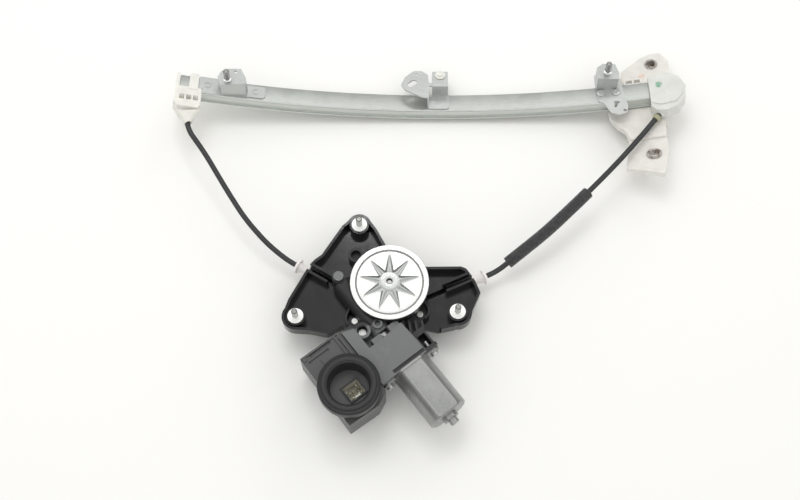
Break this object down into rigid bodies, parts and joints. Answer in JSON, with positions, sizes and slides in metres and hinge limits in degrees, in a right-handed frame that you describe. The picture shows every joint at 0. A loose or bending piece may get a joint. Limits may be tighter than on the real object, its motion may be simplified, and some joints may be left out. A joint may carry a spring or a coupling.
{
  "type": "window regulator",
  "caption": "Cable window regulator: a bent guide rail carries a glass carrier on a cable wound by a worm gear motor on its drum housing.",
  "frame": {"origin": "centre of the bounding box at its lowest level, where the drum housing's pocket and the rail's belly lie", "axes": "+X along the guide rail towards its upper end, +Y from the motor towards the rail, +Z the way the mounting studs point"},
  "size_m": [0.5164, 0.4025, 0.0662],
  "materials": {
    "galvanised_sheet": "satin zinc-coated sheet",
    "zinc_plated_steel": "bright zinc-plated studs, screws and rivets",
    "pressed_cover": "bright pressed sheet with a fine grain",
    "can_steel": "satin drawn sheet with scuffs",
    "hard_steel": "ground steel shafts and pins",
    "black_gloss_plastic": "glossy black glass-filled moulding",
    "grey_plastic": "dark grey matte moulding",
    "natural_plastic": "unpainted natural white acetal",
    "ivory_plastic": "ivory connector moulding",
    "cap_plastic": "natural white moulding with a faint pink tint",
    "amber_plastic": "beige ferrule",
    "wheel_plastic": "natural acetal gear and drum",
    "black_rubber": "matte black rubber",
    "conduit_jacket": "smooth black extruded jacket",
    "foam": "closed-cell charcoal foam",
    "cable_wire": "greased stranded steel wire",
    "spring_steel": "plain spring wire",
    "ferrite": "dark sintered ferrite and laminated core",
    "copper": "enamelled copper",
    "carbon": "carbon",
    "board_green": "lacquered circuit board",
    "tinned": "tinned brass pins"
  },
  "bodies": {
    "rail_and_housing": {"guide_rail": "galvanised_sheet", "lower_bracket": "galvanised_sheet", "centre_bracket": "galvanised_sheet", "upper_bracket": "galvanised_sheet", "lower_bracket_stud": "zinc_plated_steel", "upper_bracket_stud": "zinc_plated_steel", "upper_bracket_rivets": "zinc_plated_steel", "mounting_studs": "zinc_plated_steel", "case_screws": "zinc_plated_steel", "can_screws": "zinc_plated_steel", "gear_cover": "pressed_cover", "motor_can": "can_steel", "wheel_pin": "hard_steel", "rear_bearing": "hard_steel", "shaft_bushes": "hard_steel", "upper_pulley_pin": "hard_steel", "drum_housing": "black_gloss_plastic", "gear_case": "grey_plastic", "control_box": "grey_plastic", "lower_cable_guide": "natural_plastic", "upper_pulley_housing": "natural_plastic", "centre_bracket_clip": "natural_plastic", "connector_shell": "ivory_plastic", "lower_conduit_cap": "cap_plastic", "upper_conduit_cap": "cap_plastic", "upper_conduit_ferrule": "amber_plastic", "brush_holder": "amber_plastic", "connector_seal": "black_rubber", "cover_seal": "black_rubber", "lower_conduit": "conduit_jacket", "upper_conduit": "conduit_jacket", "foam_sleeve": "foam", "rail_cable": "cable_wire", "drum_cable_leads": "cable_wire", "lower_slack_spring": "spring_steel", "upper_slack_spring": "spring_steel", "field_magnets": "ferrite", "carbon_brushes": "carbon", "circuit_board": "board_green", "terminal_pins": "tinned"},
    "carrier": {"glass_carrier": "natural_plastic", "carrier_round_bush": "spring_steel", "carrier_long_bush": "spring_steel", "carrier_cable_nipples": "cable_wire"},
    "drum": {"worm_wheel": "wheel_plastic", "wheel_damper": "black_rubber", "output_hub": "wheel_plastic", "cable_drum": "wheel_plastic", "drum_cable_wraps": "cable_wire"},
    "armature": {"armature_shaft": "hard_steel", "armature_core": "ferrite", "armature_windings": "copper", "commutator": "copper"},
    "pulley": {"upper_pulley": "wheel_plastic"}
  },
  "joints": [
    {"name": "carrier_travel", "type": "hinge", "parent": "rail_and_housing", "child": "carrier", "pos_m": [0.0104, 0.3707, 1.08806], "axis": [0, 0.9781, -0.2079], "range_deg": [0, 19]},
    {"name": "drum_turn", "type": "hinge", "parent": "rail_and_housing", "child": "drum", "pos_m": [-0.0413, -0.0681, 0.015], "axis": [0, 0, 1], "range_deg": [0, 1050.8]},
    {"name": "armature_turn", "type": "hinge", "parent": "rail_and_housing", "child": "armature", "pos_m": [-0.06695, -0.08822, 0.036], "axis": [0.617, -0.7869, 0], "range_deg": [-58796, 0]},
    {"name": "pulley_turn", "type": "hinge", "parent": "rail_and_housing", "child": "pulley", "pos_m": [0.23504, 0.14087, 0.03082], "axis": [-0.201, 0.2037, 0.9582], "range_deg": [0, 2100.5]}
  ],
  "couplings": [
    {"joint": "drum_turn", "follows": "carrier_travel", "ratio": 55.25},
    {"joint": "armature_turn", "follows": "carrier_travel", "ratio": -3094},
    {"joint": "pulley_turn", "follows": "carrier_travel", "ratio": 110.5}
  ]
}
